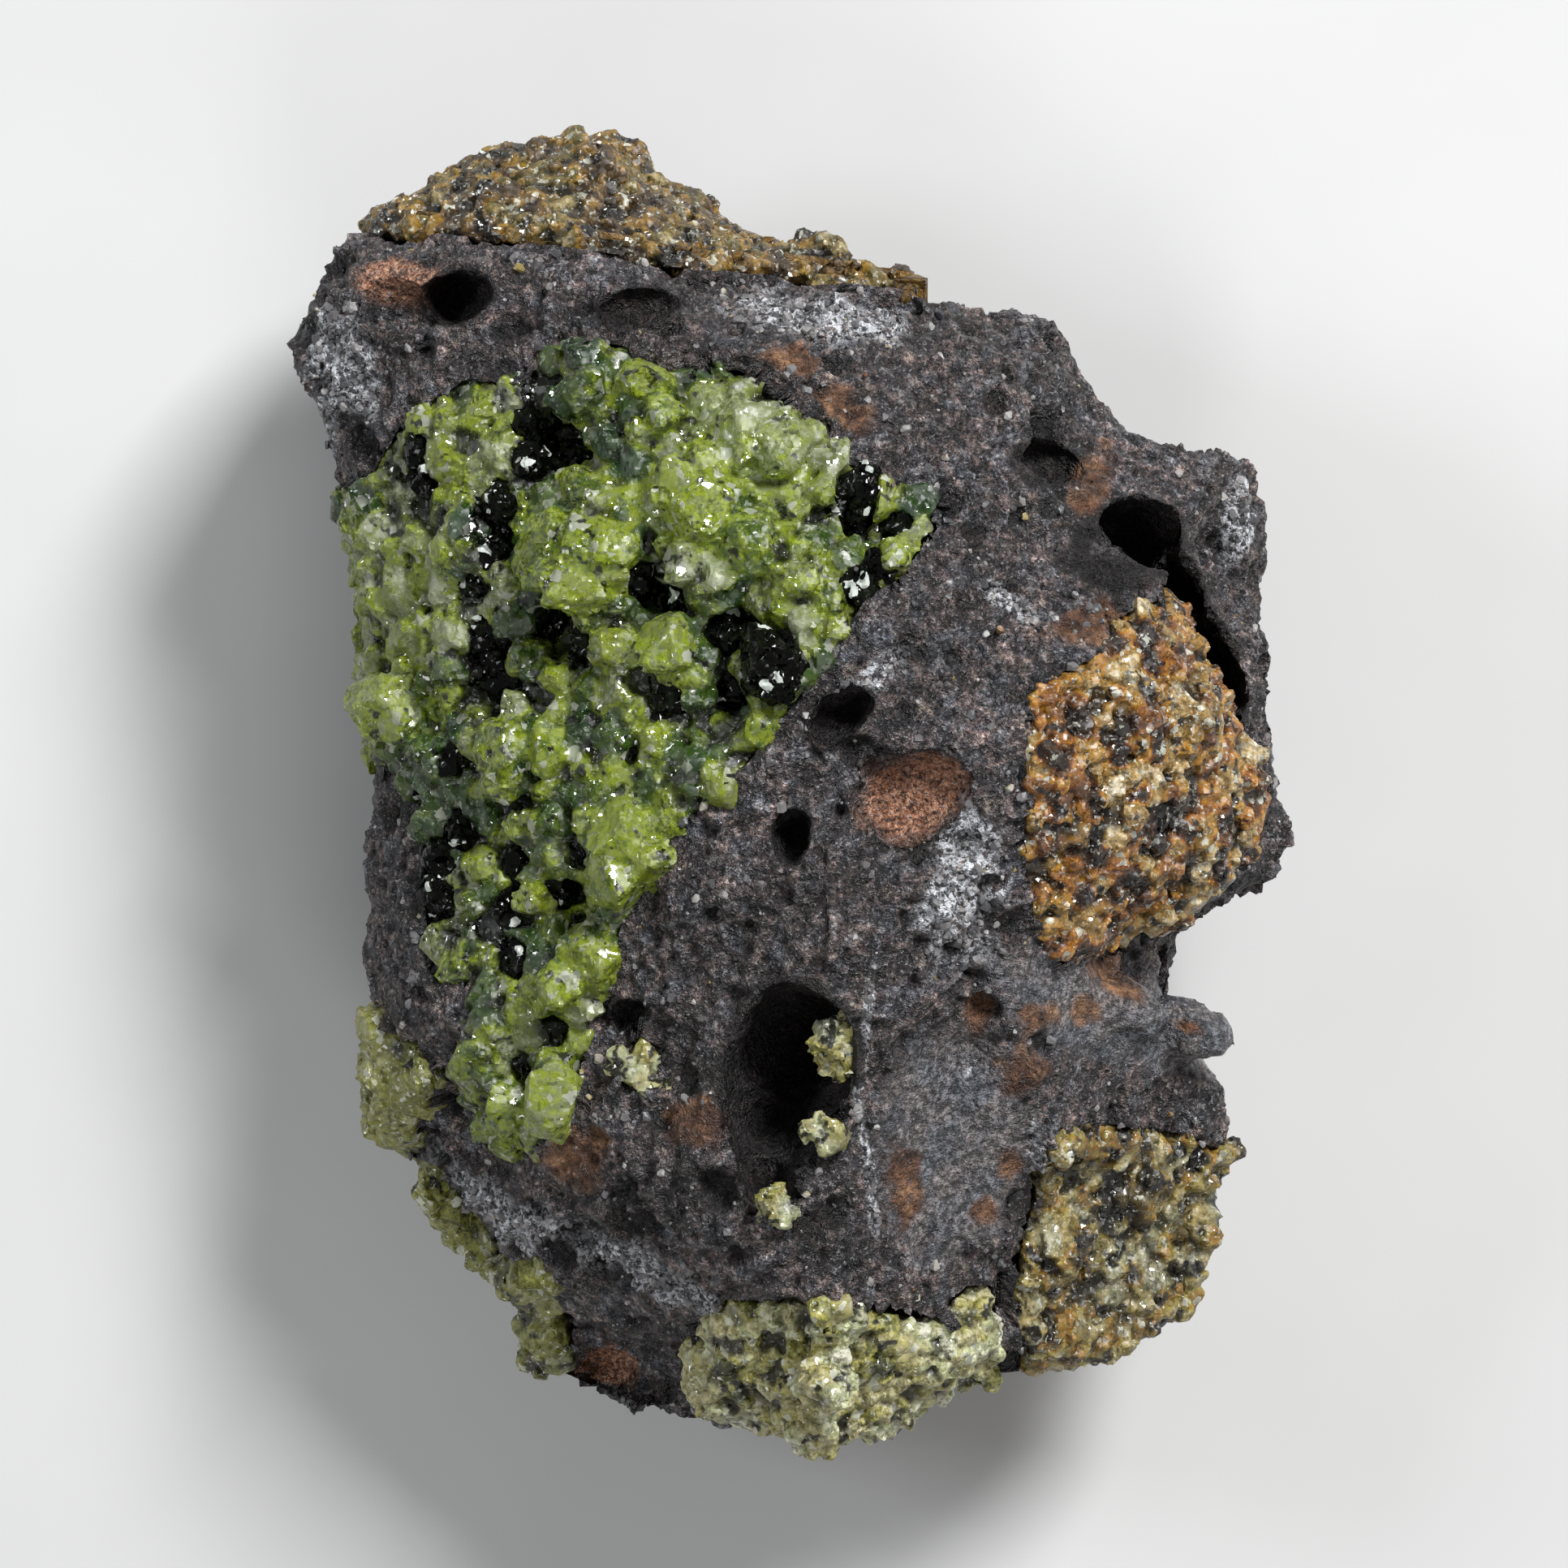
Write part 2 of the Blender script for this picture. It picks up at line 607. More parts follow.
class Nodes:
    """Adds shader nodes to a material and links them by name."""

    def __init__(self, material):
        self.tree = material.node_tree
        self.shader = self.tree.nodes["Principled BSDF"]
        self.output = self.tree.nodes["Material Output"]
        self.place = self.tree.nodes.new("ShaderNodeTexCoord").outputs["Object"]

    def add(self, kind, settings=None, **inputs):
        node = self.tree.nodes.new("ShaderNode" + kind)
        for key, value in (settings or {}).items():
            setattr(node, key, value)
        for key, value in inputs.items():
            self.put(node.inputs[key.replace("_", " ")], value)
        return node

    def put(self, socket, value):
        if isinstance(value, bpy.types.NodeSocket):
            self.tree.links.new(value, socket)
        else:
            socket.default_value = value

    def noise(self, size, detail=4, roughness=0.6):
        return self.add("TexNoise", Vector=self.place, Scale=1 / (size * MM), Detail=detail,
                        Roughness=roughness).outputs["Fac"]

    def vector(self, operation, a, b):
        node = self.add("VectorMath", {"operation": operation})
        self.put(node.inputs[0], a)
        self.put(node.inputs[1], b)
        return node

    def warped(self, size, reach):
        """Object coordinates pushed about by noise, so that cells lose their straight sides."""
        push = self.add("TexNoise", Vector=self.place, Scale=1 / (size * MM), Detail=1).outputs["Color"]
        push = self.vector("SUBTRACT", push, (0.5, 0.5, 0.5)).outputs[0]
        push = self.vector("MULTIPLY", push, (reach * MM,) * 3).outputs[0]
        return self.vector("ADD", self.place, push).outputs[0]

    def cells(self, size):
        """Two random greys for each small ragged cell."""
        cell = self.add("TexVoronoi", Vector=self.warped(size, 0.8 * size), Scale=1 / (size * MM))
        split = self.add("SeparateColor", Color=cell.outputs["Color"])
        return split.outputs[0], split.outputs[1]

    def chips(self, size):
        """A height made of small flat facets, each tilted its own way."""
        cell = self.add("TexVoronoi", Vector=self.place, Scale=1 / (size * MM))
        from_middle = self.vector("SUBTRACT", self.place, cell.outputs["Position"]).outputs[0]
        tilt = self.vector("SUBTRACT", cell.outputs["Color"], (0.5, 0.5, 0.5)).outputs[0]
        slope = self.vector("DOT_PRODUCT", from_middle, tilt).outputs["Value"]
        return self.math("MULTIPLY", slope, 1 / (size * MM))

    def attribute(self, name):
        return self.add("Attribute", {"attribute_name": name}).outputs["Fac"]

    def math(self, operation, a, b=0.0):
        node = self.tree.nodes.new("ShaderNodeMath")
        node.operation = operation
        self.put(node.inputs[0], a)
        self.put(node.inputs[1], b)
        return node.outputs[0]

    def ramp(self, value, *stops):
        """A colour ramp: stops are (position, colour or grey)."""
        node = self.tree.nodes.new("ShaderNodeValToRGB")
        elements = node.color_ramp.elements
        while len(elements) < len(stops):
            elements.new(0.5)
        for element, (position, colour) in zip(elements, stops):
            element.position = position
            grey = (colour,) * 3 if isinstance(colour, (int, float)) else colour
            element.color = (*grey, 1)
        self.put(node.inputs[0], value)
        return node.outputs["Color"]

    def mix(self, share, a, b, blend="MIX"):
        node = self.tree.nodes.new("ShaderNodeMix")
        node.data_type = "RGBA"
        node.blend_type = blend
        self.put(node.inputs["Factor"], share)
        for socket, value in ((node.inputs[6], a), (node.inputs[7], b)):
            self.put(socket, value if isinstance(value, bpy.types.NodeSocket) else (*value, 1))
        return node.outputs[2]

    def bump(self, height, strength, distance):
        return self.add("Bump", Strength=strength, Distance=distance * MM, Height=height).outputs["Normal"]

    def set(self, **sockets):
        for key, value in sockets.items():
            if isinstance(value, tuple):
                value = (*value, 1)
            self.put(self.shader.inputs[key.replace("_", " ")], value)


def basalt_ground(n, mottle):
    """Dark mottled stone, a little bluish and reddish by turns, darker and lighter in wide stretches."""
    ground = n.ramp(mottle, (0.38, (0.008, 0.008, 0.01)), (0.46, (0.03, 0.029, 0.034)),
                    (0.52, (0.08, 0.077, 0.085)), (0.58, (0.17, 0.165, 0.17)), (0.64, (0.4, 0.39, 0.39)))
    tint = n.ramp(n.noise(1.1, 3, 0.7), (0.34, (0.85, 0.95, 1.05)), (0.46, (1.05, 1, 0.98)),
                  (0.56, (1.3, 0.95, 0.85)), (0.7, (1.2, 1.1, 0.85)))
    wide = n.ramp(n.noise(3.0, 3, 0.65), (0.36, 0.28), (0.5, 0.72), (0.64, 1.45))
    return n.mix(1.0, n.mix(1.0, ground, tint, "MULTIPLY"), wide, "MULTIPLY")


def rusty_stain(n, mottle):
    """How far rust covers each point, and the rust's colour."""
    edge = n.math("ADD", n.attribute("rusty"), n.math("MULTIPLY", n.noise(0.6, 3, 0.7), 0.9))
    cover = n.ramp(n.math("MULTIPLY", edge, 0.5), (0.34, 0.0), (0.74, 1.0))
    rust = n.ramp(n.noise(1.7, 3, 0.6), (0.36, (0.045, 0.018, 0.01)), (0.5, (0.12, 0.056, 0.028)),
                  (0.64, (0.27, 0.14, 0.07)))
    return cover, n.mix(1.0, rust, n.ramp(mottle, (0.4, 0.35), (0.62, 1.7)), "MULTIPLY")


def glassy_stone(n):
    """The smooth grey stone of the glassy places, with a texture as of sugar."""
    sugar = n.ramp(n.noise(0.35, 4, 0.8), (0.4, (0.035, 0.037, 0.04)), (0.5, (0.095, 0.096, 0.105)),
                   (0.6, (0.3, 0.3, 0.32)))
    tint = n.ramp(n.noise(1.6, 2), (0.4, (0.75, 0.8, 0.85)), (0.62, (1.25, 1.1, 1.0)))
    return n.mix(1.0, sugar, tint, "MULTIPLY")


def rock_material():
    """Mottled dark basalt: pale dust on its ridges, rust in places, smooth brown linings and pale flecks."""
    material = new_material("basalt")
    n = Nodes(material)
    mottle = n.noise(0.5, 5, 0.85)
    ground = basalt_ground(n, mottle)
    lining = n.ramp(n.noise(0.2, 4, 0.75), (0.36, (0.09, 0.035, 0.02)), (0.5, (0.34, 0.15, 0.085)),
                    (0.62, (0.62, 0.36, 0.23)))
    ground = n.mix(n.attribute("brown"), ground, lining)
    dust = n.ramp(n.noise(0.35, 4, 0.7), (0.44, 0.0), (0.53, 1.0))
    ground = n.mix(n.math("MULTIPLY", n.attribute("pale"), dust), ground, (0.68, 0.7, 0.74))
    specks = n.ramp(n.noise(0.16, 3, 0.7), (0.58, 0.0), (0.64, 0.7))
    ground = n.mix(specks, ground, (0.34, 0.34, 0.36))
    pores = n.ramp(n.noise(0.24, 4, 0.7), (0.4, 0.15), (0.48, 1.0))
    ground = n.mix(1.0, ground, pores, "MULTIPLY")
    cavity = n.ramp(n.attribute("height"), (0.0, 0.22), (0.45, 0.85), (1.0, 1.7))
    ground = n.mix(1.0, ground, cavity, "MULTIPLY")
    in_hole = n.mix(1.0, ground, (0.14, 0.12, 0.12), "MULTIPLY")
    ground = n.mix(n.attribute("hollow"), ground, in_hole)
    bare = n.math("SUBTRACT", 0.85, n.math("MULTIPLY", n.attribute("pale"), 0.7))
    ground = n.mix(n.math("MULTIPLY", n.attribute("glassy"), bare), ground, glassy_stone(n))
    cover, rust = rusty_stain(n, mottle)
    ground = n.mix(cover, ground, rust)
    gloss = n.ramp(n.noise(0.4, 2, 0.7), (0.3, 0.28), (0.7, 0.7))
    gloss = n.mix(n.attribute("glassy"), gloss, (0.2, 0.2, 0.2))
    n.set(Base_Color=ground, Roughness=gloss, Normal=n.bump(n.noise(0.32, 3, 0.75), 1.0, 0.55))
    return material


def grain_material(name, stops, transmission, absorption, density, roughness, chip, blotch, spotted, whole):
    """Glassy grains: each has a tone with clouds and flaws, darkens into the gaps, and glints where chipped.

    The chip is a facet's size and the blotch a cloud's, in mm. Dark spots spread with spotted, and whole is
    how much of the grains is free of veins and chips.
    """
    material = new_material(name)
    n = Nodes(material)
    broken = n.ramp(n.attribute("broken"), (whole, 0.15), (whole + 0.16, 1.0))
    cloud = n.math("MULTIPLY", n.math("SUBTRACT", n.noise(blotch, 4, 0.75), 0.5), 0.9)
    colour = n.ramp(n.math("ADD", n.attribute("tone"), cloud), *stops)
    veins = n.ramp(n.noise(0.3, 3, 0.75), (0.36, (0.35, 0.35, 0.3)), (0.5, 1.0), (0.62, 1.3))
    colour = n.mix(1.0, colour, n.mix(broken, (1, 1, 1), veins), "MULTIPLY")
    spots = n.ramp(n.noise(1.6 * blotch, 2, 0.6), (spotted, 0.05), (spotted + 0.06, 1.0))
    colour = n.mix(1.0, colour, spots, "MULTIPLY")
    shade = n.ramp(n.attribute("deep"), (0.42, 1.0), (0.56, 0.65), (0.7, 0.12), (0.85, 0.02))
    colour = n.mix(1.0, colour, shade, "MULTIPLY")
    flaws = n.ramp(n.noise(0.24, 3, 0.7), (0.6, 0.0), (0.66, 0.7))
    polish, sparkle = n.cells(0.8 * chip)
    glints = n.ramp(sparkle, (0.955, 0.0), (0.96, 0.8))
    bright = n.math("MAXIMUM", flaws, n.math("MULTIPLY", glints, shade))
    colour = n.mix(bright, colour, (0.85, 0.88, 0.75))
    n.set(Base_Color=colour, Normal=n.bump(n.math("MULTIPLY", n.chips(0.8 * chip), broken), 1.0, 0.28))
    n.set(Roughness=n.ramp(polish, (0.25, roughness), (0.38, 0.5)))
    n.set(IOR=OLIVINE_IOR, Transmission_Weight=transmission)
    volume = n.add("VolumeAbsorption", Color=(*absorption, 1), Density=density)
    n.tree.links.new(volume.outputs[0], n.output.inputs["Volume"])
    return material


def bed_material(name, low, high):
    """The cloudy inside of the grains, where fractures throw the light back, in colours from low to high."""
    material = new_material(name)
    n = Nodes(material)
    n.set(Base_Color=n.ramp(n.noise(0.9, 6, 0.75), (0.38, low), (0.6, high)), Roughness=0.5,
          Normal=n.bump(n.noise(0.4, 4), 1.0, 0.3))
    return material


def crumb_material():
    """Dark, grey, white, yellow or rusty, by the crumb's tone."""
    material = new_material("crumbs")
    n = Nodes(material)
    n.set(Base_Color=n.ramp(n.attribute("tone"), (0.0, (0.02, 0.02, 0.024)), (0.4, (0.1, 0.1, 0.105)),
                            (0.75, (0.2, 0.19, 0.19)), (0.9, (0.36, 0.35, 0.34)), (0.95, (0.25, 0.2, 0.06)),
                            (1.0, (0.14, 0.06, 0.03))),
          Roughness=n.ramp(n.noise(0.3, 3), (0.35, 0.15), (0.65, 0.6)),
          Normal=n.bump(n.noise(0.2, 4), 0.6, 0.1))
    return material


def pyroxene_material():
    """Almost black glass with broken faces, a few of which glint."""
    material = new_material("pyroxene")
    n = Nodes(material)
    black = n.ramp(n.noise(0.7, 5), (0.5, (0.0006, 0.0006, 0.0006)), (0.75, (0.006, 0.009, 0.004)))
    glints = n.ramp(n.cells(0.42)[0], (0.955, 0.0), (0.96, 1.0))
    n.set(Base_Color=n.mix(glints, black, (0.5, 0.54, 0.5)),
          Roughness=n.ramp(n.noise(0.4, 4), (0.35, 0.04), (0.7, 0.2)),
          Normal=n.bump(n.chips(0.7), 0.8, 0.3))
    n.set(IOR=1.33)
    return material


# The lumps: sizes are half widths in mm from the largest grains to the smallest, with the chance of each kind

GREEN, BLACK, VOID = "green", "black", "void"

# Grains of the main lump with places of their own: x, y and half width in mm, and the green ones' tone
GREEN_GRAINS = [
    (-7.9, 15.8, 0.9, 0.5), (-5.6, 15.9, 1.1, 0.66), (-4.9, 14.9, 0.9, 0.6), (-9.4, -12.6, 1.3, 0.75),
    (-10.9, -13.1, 1.1, 0.6), (-4.5, 5.6, 1.2, 0.74), (-1.3, 9.6, 1.3, 0.55), (-6.6, 5.6, 1.0, 0.74),
]
BLACK_GRAINS = [
    (-0.6, 5.6, 1.25), (-2.2, 6.1, 1.25), (-4.4, 7.6, 1.0), (-5.6, 8.0, 1.0), (-9.8, 14.2, 1.1),
    (-8.3, 13.1, 1.2), (-10.4, 13.0, 0.8), (-11.5, 11.0, 0.9), (-11.7, 9.5, 0.9), (-9.2, 6.4, 1.2),
    (-8.2, 5.6, 0.8), (-12.2, 5.4, 1.2), (-11.7, 4.0, 1.2), (-12.6, 7.8, 0.7), (-15.0, 13.4, 0.8),
    (-14.8, 12.3, 0.7), (3.0, 12.1, 0.9), (2.7, 10.7, 1.0), (4.4, 10.4, 0.9), (3.6, 9.2, 0.8),
    (3.0, 7.9, 0.9), (-2.2, 3.6, 0.8), (-4.6, 3.3, 0.8), (-8.4, -2.8, 0.7), (-8.8, -4.4, 0.8),
    (-8.2, -6.0, 0.7), (-8.1, -7.9, 0.8), (-11.0, -3.2, 0.8), (-11.2, -5.0, 0.8), (-11.0, -6.9, 0.8),
    (-13.2, -1.7, 0.8), (-14.4, -4.7, 1.2), (-14.3, -2.9, 0.8), (-9.2, -9.7, 0.6), (-10.6, -11.6, 0.6),
    (-13.4, 0.9, 0.6),
]
BLACK_SWELL = 1.2  # how much larger the black grains are made, because they are sunk deep
BLACK_SUNK = 0.8  # in half widths

# The main lump's bright crystals, each a bunch of grains: middle, half width and height, turn, tone
CLUSTERS = [
    (-8.0, 9.2, 2.9, 1.9, 12, 0.66), (-3.6, 11.8, 1.4, 1.8, 20, 0.67), (-10.6, 1.0, 1.9, 1.2, 15, 0.66),
    (-6.2, -2.8, 1.3, 1.4, 40, 0.64), (-8.3, -7.6, 0.9, 1.3, 0, 0.64), (-0.7, 13.6, 1.6, 1.5, 0, 0.82),
    (-15.9, 3.2, 1.2, 1.5, 0, 0.76),
]


CLUSTER_SHARE = 0.75  # of its place that a bright crystal's grains start from
CLUSTER_RADII = (1.0, 1.5)
CLUSTER_OVERLAP = 0.55
CLUSTER_SUNK = 0.2
CLUSTER_TONES = (-0.08, 0.04)  # how far a grain's tone is from its crystal's


def cluster_seeds(samples):
    """Grains that stand close together and a little high, in the bright crystals' places."""
    stream = random.Random(31)
    seeds = []
    points = np.array([s[0] for s in samples])
    for *place, tone in CLUSTERS:
        inside = np.nonzero(in_place(points, place) < CLUSTER_SHARE)[0]
        for i in inside:
            at, normal = samples[i]
            radius = stream.uniform(*CLUSTER_RADII)
            if any((at - s.spot).length < CLUSTER_OVERLAP * (radius + s.radius) for s in seeds):
                continue
            near_tone = tone + stream.uniform(*CLUSTER_TONES)
            seeds.append(Seed(at, normal, radius, GREEN, CLUSTER_SUNK, near_tone))
    return seeds


def sample_at(samples, x, y):
    """The sample nearest to a place seen from above, the higher one where two are as near."""
    target = Vector((x + SHIFT.x, y + SHIFT.y))
    return min(samples, key=lambda s: (s[0].xy - target).length_squared - 0.02 * s[0].z)


def named_seeds(samples):
    """The grains that have places of their own, on the lump's surface."""
    green = [Seed(*sample_at(samples, x, y), radius, GREEN, 0, tone) for x, y, radius, tone in GREEN_GRAINS]
    black = [Seed(*sample_at(samples, x, y), BLACK_SWELL * radius, BLACK, BLACK_SUNK)
             for x, y, radius in BLACK_GRAINS]
    return green + black


# The main lump's grains are deep green, olive green, bright or pale
TONE_KINDS = [(0.1, 0.25), (0.36, 0.55), (0.58, 0.7), (0.8, 0.98)]
TONE_CHANCES = [20, 34, 24, 22]

# Stretches of the main lump: centre, half sizes, tone there and how strongly it holds
TONE_PLACES = [
    (-14.0, 13.6, 2.6, 2.4, 0.9, 0.7), (-15.8, 6.5, 1.9, 6.5, 0.88, 0.6),
    (-1.0, 13.6, 3.4, 3.0, 0.88, 0.7), (-4.2, -0.6, 4.2, 3.6, 0.55, 0.6), (-3.2, 4.4, 3.0, 2.6, 0.5, 0.5),
    (-14.6, -1.0, 2.0, 3.6, 0.25, 0.7), (-9.0, 11.6, 3.4, 1.4, 0.62, 0.5),
    (1.4, 7.4, 3.0, 2.6, 0.88, 0.5), (-6.4, -5.8, 1.8, 3.6, 0.6, 0.5), (-9.6, -13.0, 2.2, 2.2, 0.66, 0.6),
    (-12.3, -7.5, 1.8, 3.0, 0.5, 0.5), (-10.4, -2.0, 2.0, 3.0, 0.45, 0.5),
]


def main_tone(s, stream):
    """The tone of a grain of the main lump: its own, or one of the kinds, drawn to that of its place."""
    if s.tone is not None:
        return s.tone
    low, high = stream.choices(TONE_KINDS, weights=TONE_CHANCES)[0]
    tone = stream.uniform(low, high) + 0.16 * noise.noise(s.at / 3)
    for *place, here, hold in TONE_PLACES:
        inside = 1 - smooth_step(0.6, 1.3, in_place(np.array([s.at]), (*place, 0))[0])
        tone += inside * hold * (here + stream.uniform(-0.15, 0.15) - tone)
    return tone


def make_main_lump(rock_tree):
    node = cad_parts["peridot_main"]
    samples = surface_samples(node, rock_tree, count=16000, seed=21, reach=0.75)
    sizes = [
        (0.75, 1.05, {GREEN: 0.97, VOID: 0.03}),
        (0.48, 0.7, {GREEN: 0.89, BLACK: 0.02, VOID: 0.09}),
        (0.3, 0.42, {GREEN: 0.86, BLACK: 0.04, VOID: 0.1}),
    ]
    named = cluster_seeds(samples) + named_seeds(samples)
    seeds = pack_seeds(samples, sizes, named, seed=22, sunk=(0.5, 1.0), overlap=0.68)
    grain = grain_material("peridot", PERIDOT_STOPS, transmission=0.65, absorption=(0.8, 0.93, 0.45),
                           density=300, roughness=0.08, chip=0.5, blotch=0.5, spotted=0.33, whole=0.42)
    bed = bed_material("peridot_bed", (0.008, 0.018, 0.004), (0.55, 0.65, 0.25))
    green = [s for s in seeds if s.kind == GREEN]
    stream = random.Random(25)
    tones = [main_tone(s, stream) for s in green]
    make_lump("peridot_grains", "peridot_main", green, seeds, grain, bed, tones, seed=23,
              voxel=MAIN_VOXEL, fill_depth=FILL_DEPTH, rock_tree=rock_tree)
    black = [s for s in seeds if s.kind == BLACK]
    grains = grain_mesh("pyroxene_grains", black, seeds, seed=24, crack=CRACK)
    piece = grown_solid("pyroxene_grains", grains, None, FINE_VOXEL)
    finish_surface(piece, black, [0] * len(black), level=None, chip=0.6, chip_height=0.9)
    piece.data.materials.append(pyroxene_material())
    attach(piece, "root")
    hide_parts(*[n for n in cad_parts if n.startswith("pyroxene_")])


PERIDOT_STOPS = [
    (0.0, (0.004, 0.02, 0.006)), (0.16, (0.02, 0.07, 0.016)), (0.36, (0.06, 0.13, 0.02)),
    (0.52, (0.14, 0.21, 0.03)), (0.61, (0.36, 0.47, 0.03)), (0.7, (0.5, 0.6, 0.04)),
    (0.77, (0.36, 0.43, 0.1)), (0.88, (0.42, 0.48, 0.22)), (1.0, (0.74, 0.77, 0.54)),
]
WEATHERED_STOPS = [
    (0.0, (0.01, 0.007, 0.005)), (0.16, (0.05, 0.022, 0.008)), (0.32, (0.17, 0.06, 0.012)),
    (0.46, (0.44, 0.17, 0.022)), (0.58, (0.56, 0.3, 0.045)), (0.7, (0.26, 0.15, 0.035)),
    (0.86, (0.56, 0.38, 0.13)), (1.0, (0.85, 0.78, 0.6)),
]
BROWN_STOPS = [
    (0.0, (0.008, 0.007, 0.005)), (0.16, (0.03, 0.018, 0.007)), (0.32, (0.1, 0.055, 0.014)),
    (0.46, (0.22, 0.12, 0.022)), (0.58, (0.44, 0.25, 0.035)), (0.7, (0.13, 0.11, 0.03)),
    (0.84, (0.32, 0.23, 0.07)), (1.0, (0.55, 0.45, 0.2)),
]
OLIVE_STOPS = [
    (0.0, (0.01, 0.009, 0.007)), (0.16, (0.05, 0.035, 0.015)), (0.32, (0.18, 0.13, 0.035)),
    (0.44, (0.42, 0.22, 0.035)), (0.54, (0.34, 0.28, 0.06)), (0.7, (0.46, 0.36, 0.15)),
    (0.84, (0.36, 0.36, 0.2)), (1.0, (0.62, 0.56, 0.4)),
]
MOSSY_STOPS = [
    (0.0, (0.01, 0.012, 0.006)), (0.2, (0.05, 0.06, 0.014)), (0.45, (0.2, 0.21, 0.04)),
    (0.62, (0.33, 0.33, 0.07)), (0.8, (0.38, 0.38, 0.15)), (1.0, (0.55, 0.54, 0.3)),
]
PALE_STOPS = [
    (0.0, (0.015, 0.018, 0.01)), (0.18, (0.08, 0.085, 0.02)), (0.38, (0.28, 0.28, 0.06)),
    (0.54, (0.5, 0.46, 0.12)), (0.68, (0.56, 0.5, 0.26)), (0.84, (0.56, 0.6, 0.3)), (1.0, (0.85, 0.83, 0.66)),
]


def speckled_tone(s, stream, dark_share, low, high):
    """A tone that drifts over the lump in patches, with a spread from grain to grain and a few dark ones."""
    if stream.random() < dark_share:
        return stream.uniform(0, 0.1)
    drift = 0.5 + 0.5 * noise.noise(s.at / TONE_PATCH)
    return low + (high - low) * min(max(drift + stream.uniform(-0.5, 0.5), 0), 1)


# Lowest and highest half width of each size of grain in mm, and the share of them left as a void
FINE = [(0.42, 0.6, 0.12), (0.3, 0.4, 0.2), (0.2, 0.28, 0.3)]
MEDIUM = [(0.7, 1.0, 0), (0.45, 0.6, 0.08), (0.3, 0.4, 0.15)]
COARSE = [(1.0, 1.4, 0), (0.6, 0.8, 0), (0.35, 0.5, 0.1)]


class SmallLump(NamedTuple):
    """A small lump: the node that it stands for, and how its grains stand and look."""

    node: str
    piece: str
    slot: str
    stops: list  # colours of its tones
    sizes: list
    samples: int  # spots tried for its grains
    sunk: float  # least depth of a grain's middle, in half widths
    overlap: float  # how near grains stand, in half widths
    dark_share: float  # of the grains that are nearly black
    tones: tuple  # lowest and highest tone of the others
    spotted: float  # how far dark spots spread
    blotch: float  # width of the clouds in mm
    seed: int


SMALL_LUMPS = [
    SmallLump("olivine_top", "olivine_grains_top", "weathered_olivine", BROWN_STOPS, FINE, 9000,
              sunk=0.6, overlap=0.75, dark_share=0.06, tones=(0.2, 0.9), spotted=0.34, blotch=0.8,
              seed=410),
    SmallLump("olivine_right", "olivine_grains_right", "weathered_olivine", WEATHERED_STOPS, FINE, 8000,
              sunk=0.3, overlap=0.78, dark_share=0.12, tones=(0.22, 0.92), spotted=0.36, blotch=0.5,
              seed=420),
    SmallLump("olivine_lower_right", "olivine_grains_lower", "weathered_olivine", OLIVE_STOPS, FINE, 8000,
              sunk=0.6, overlap=0.75, dark_share=0.03, tones=(0.25, 0.95), spotted=0.37, blotch=0.8,
              seed=430),
    SmallLump("peridot_bottom", "peridot_grains_bottom", "pale_peridot", PALE_STOPS, FINE, 6000,
              sunk=0.4, overlap=0.76, dark_share=0.03, tones=(0.4, 1.0), spotted=0.34, blotch=0.6,
              seed=440),
    SmallLump("peridot_left", "peridot_grains_left", "pale_peridot", MOSSY_STOPS, COARSE, 5000,
              sunk=0.6, overlap=0.58, dark_share=0, tones=(0.5, 0.8), spotted=0.28, blotch=0.8,
              seed=450),
    SmallLump("peridot_lower_left", "peridot_grains_lower_left", "pale_peridot", MOSSY_STOPS, MEDIUM, 6000,
              sunk=0.8, overlap=0.68, dark_share=0.04, tones=(0.35, 0.9), spotted=0.35, blotch=0.8,
              seed=460),
]


SMALL_SUNK = 0.4  # spread of the grains' depths, in half widths


def make_small_lump(lump, rock_tree):
    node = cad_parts[lump.node]
    samples = surface_samples(node, rock_tree, lump.samples, lump.seed, reach=0.42)
    sizes = [(low, high, {GREEN: 1 - voids, VOID: voids}) for low, high, voids in lump.sizes]
    seeds = pack_seeds(samples, sizes, [], lump.seed + 1, (lump.sunk, lump.sunk + SMALL_SUNK), lump.overlap)
    grains = [s for s in seeds if s.kind == GREEN]
    grain = grain_material(lump.piece, lump.stops, transmission=0.4, absorption=(0.9, 0.8, 0.4), density=250,
                           roughness=0.2, chip=0.35, blotch=lump.blotch, spotted=lump.spotted, whole=0.3)
    bed = bed_material(lump.piece + "_bed", lump.stops[1][1], lump.stops[3][1])
    stream = random.Random(lump.seed + 3)
    tones = [speckled_tone(s, stream, lump.dark_share, *lump.tones) for s in grains]
    make_lump(lump.piece, lump.node, grains, seeds, grain, bed, tones, seed=lump.seed + 2,
              voxel=FINE_VOXEL, fill_depth=FINE_FILL_DEPTH, rock_tree=rock_tree)


CRYSTAL_GRAINS = 14  # in each single crystal


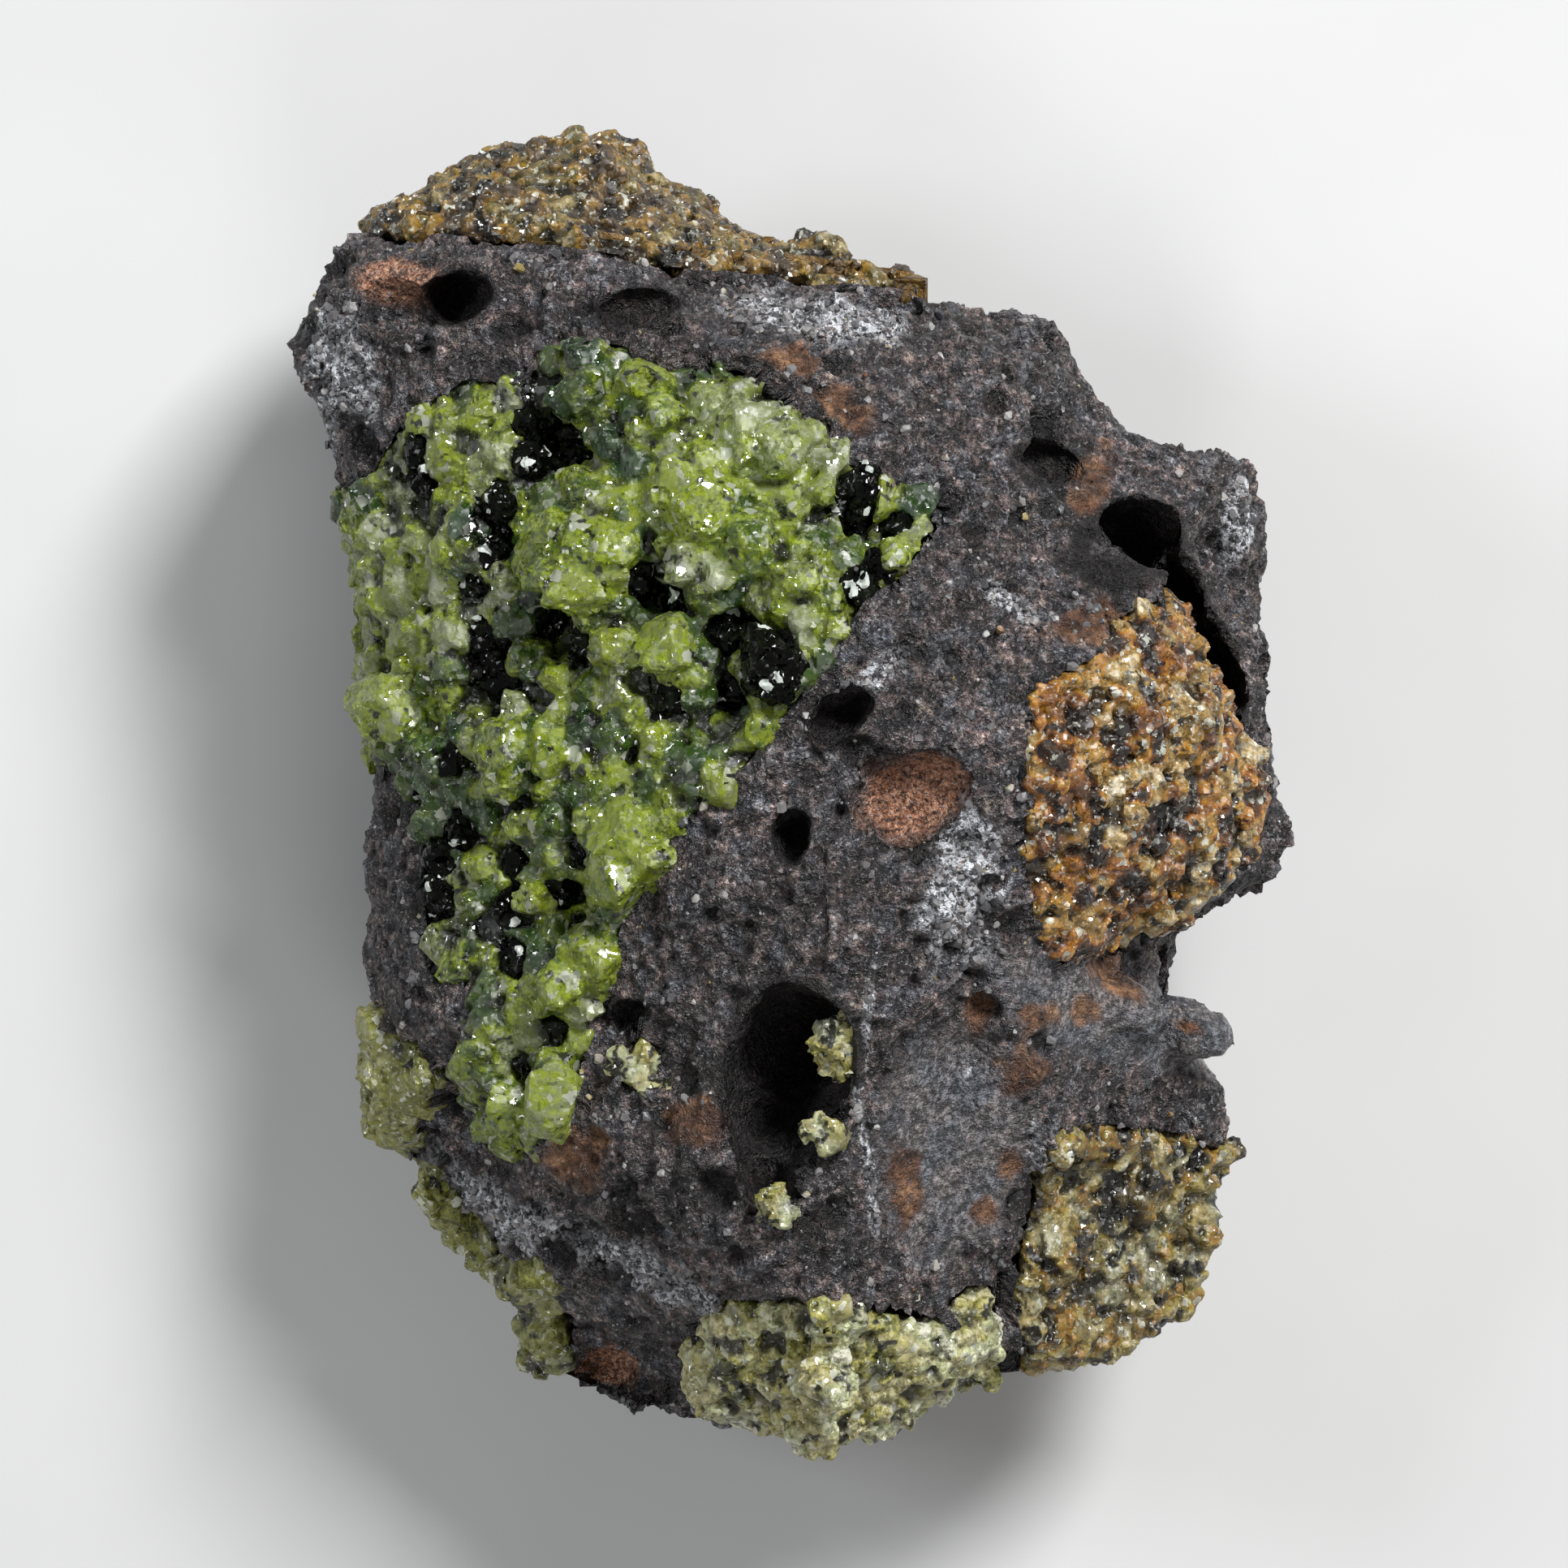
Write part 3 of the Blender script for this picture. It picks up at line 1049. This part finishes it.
def make_loose_crystals():
    """The single crystals caught in the basalt, each a tight bunch of clear grains."""
    stream = random.Random(70)
    nodes = [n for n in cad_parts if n.startswith("olivine_crystal_")]
    seeds = []
    for name in nodes:
        low, high = (Vector(c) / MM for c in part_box(name))
        middle, half = (low + high) / 2, (high - low) / 2
        for _ in range(CRYSTAL_GRAINS):
            offset = random_direction(stream) * stream.uniform(0.1, 0.85)
            offset.z = 0.4 * abs(offset.z)
            at = middle + Vector(a * b for a, b in zip(offset, half))
            seeds.append(Seed(at, Vector((0, 0, 1)), stream.uniform(0.6, 0.85) * min(half), GREEN))
    grains = grain_mesh("olivine_crystals", seeds, seeds, seed=71, crack=CRACK)
    piece = grown_solid("olivine_crystals", grains, None, FINE_VOXEL)
    tones = [stream.uniform(0.4, 1.05) for _ in seeds]
    finish_surface(piece, seeds, tones, level=None, chip=0.75, chip_height=0.9)
    clear = grain_material("clear_olivine", PALE_STOPS, transmission=0.4, absorption=(0.8, 0.85, 0.5),
                           density=150, roughness=0.1, chip=0.4, blotch=0.5, spotted=0.39, whole=0.42)
    piece.data.materials.append(clear)
    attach(piece, "root")
    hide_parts(*nodes)


# The set


def make_floor():
    mesh = bpy.data.meshes.new("floor")
    reach = FLOOR_WIDTH / 2
    corners = [(-reach, -reach, 0), (reach, -reach, 0), (reach, reach, 0), (-reach, reach, 0)]
    mesh.from_pydata(corners, [], [(0, 1, 2, 3)])
    floor = new_object("floor", mesh)
    material = new_material("floor")
    n = Nodes(material)
    n.set(Base_Color=n.ramp(n.noise(30, 3), (0.3, 0.52), (0.7, 0.56)), Roughness=0.7)
    mesh.materials.append(material)


def add_light(name, at, size, watts, colour=(1, 1, 1)):
    """An area light that looks at the middle of the floor: its place and size are in metres."""
    data = bpy.data.lights.new(name, "AREA")
    data.size = size
    data.energy = watts
    data.color = colour
    light = new_object(name, data)
    light.location = at
    light.rotation_euler = (-Vector(at)).to_track_quat("-Z", "Y").to_euler()


WORLD_STRENGTH = 0.22


def make_lights():
    add_light("key", (0.26, 0.34, 0.46), 0.18, 5.6)
    add_light("side", (-0.45, 0.1, 0.35), 0.14, 1.0, (0.93, 0.97, 1))
    add_light("front", (0.1, -0.45, 0.5), 0.2, 0.9)
    world = bpy.data.worlds.new("studio")
    world.use_nodes = True
    background = world.node_tree.nodes["Background"].inputs
    background["Color"].default_value = (1, 0.99, 0.97, 1)
    background["Strength"].default_value = WORLD_STRENGTH
    bpy.context.scene.world = world


def make_camera():
    data = bpy.data.cameras.new("camera")
    data.sensor_width = SENSOR
    data.lens = SENSOR * (CAMERA_HEIGHT - RIM_HEIGHT) / PICTURE_WIDTH
    data.clip_start = 0.01
    camera = new_object("camera", data)
    camera.location = (SHIFT.x * MM, SHIFT.y * MM, CAMERA_HEIGHT * MM)
    bpy.context.scene.camera = camera


make_camera()
make_lights()
make_floor()
bpy.context.scene.view_settings.view_transform = "Standard"
rock_tree = tree_of(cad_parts["basalt_matrix"])
lump_tree = tree_of(*[o for n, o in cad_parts.items() if n != "basalt_matrix"])
crystal_tree = tree_of(*[o for n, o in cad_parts.items() if n.startswith("olivine_crystal_")])
make_rock(lump_tree, crystal_tree)
make_main_lump(rock_tree)
for lump in SMALL_LUMPS:
    make_small_lump(lump, rock_tree)
make_loose_crystals()
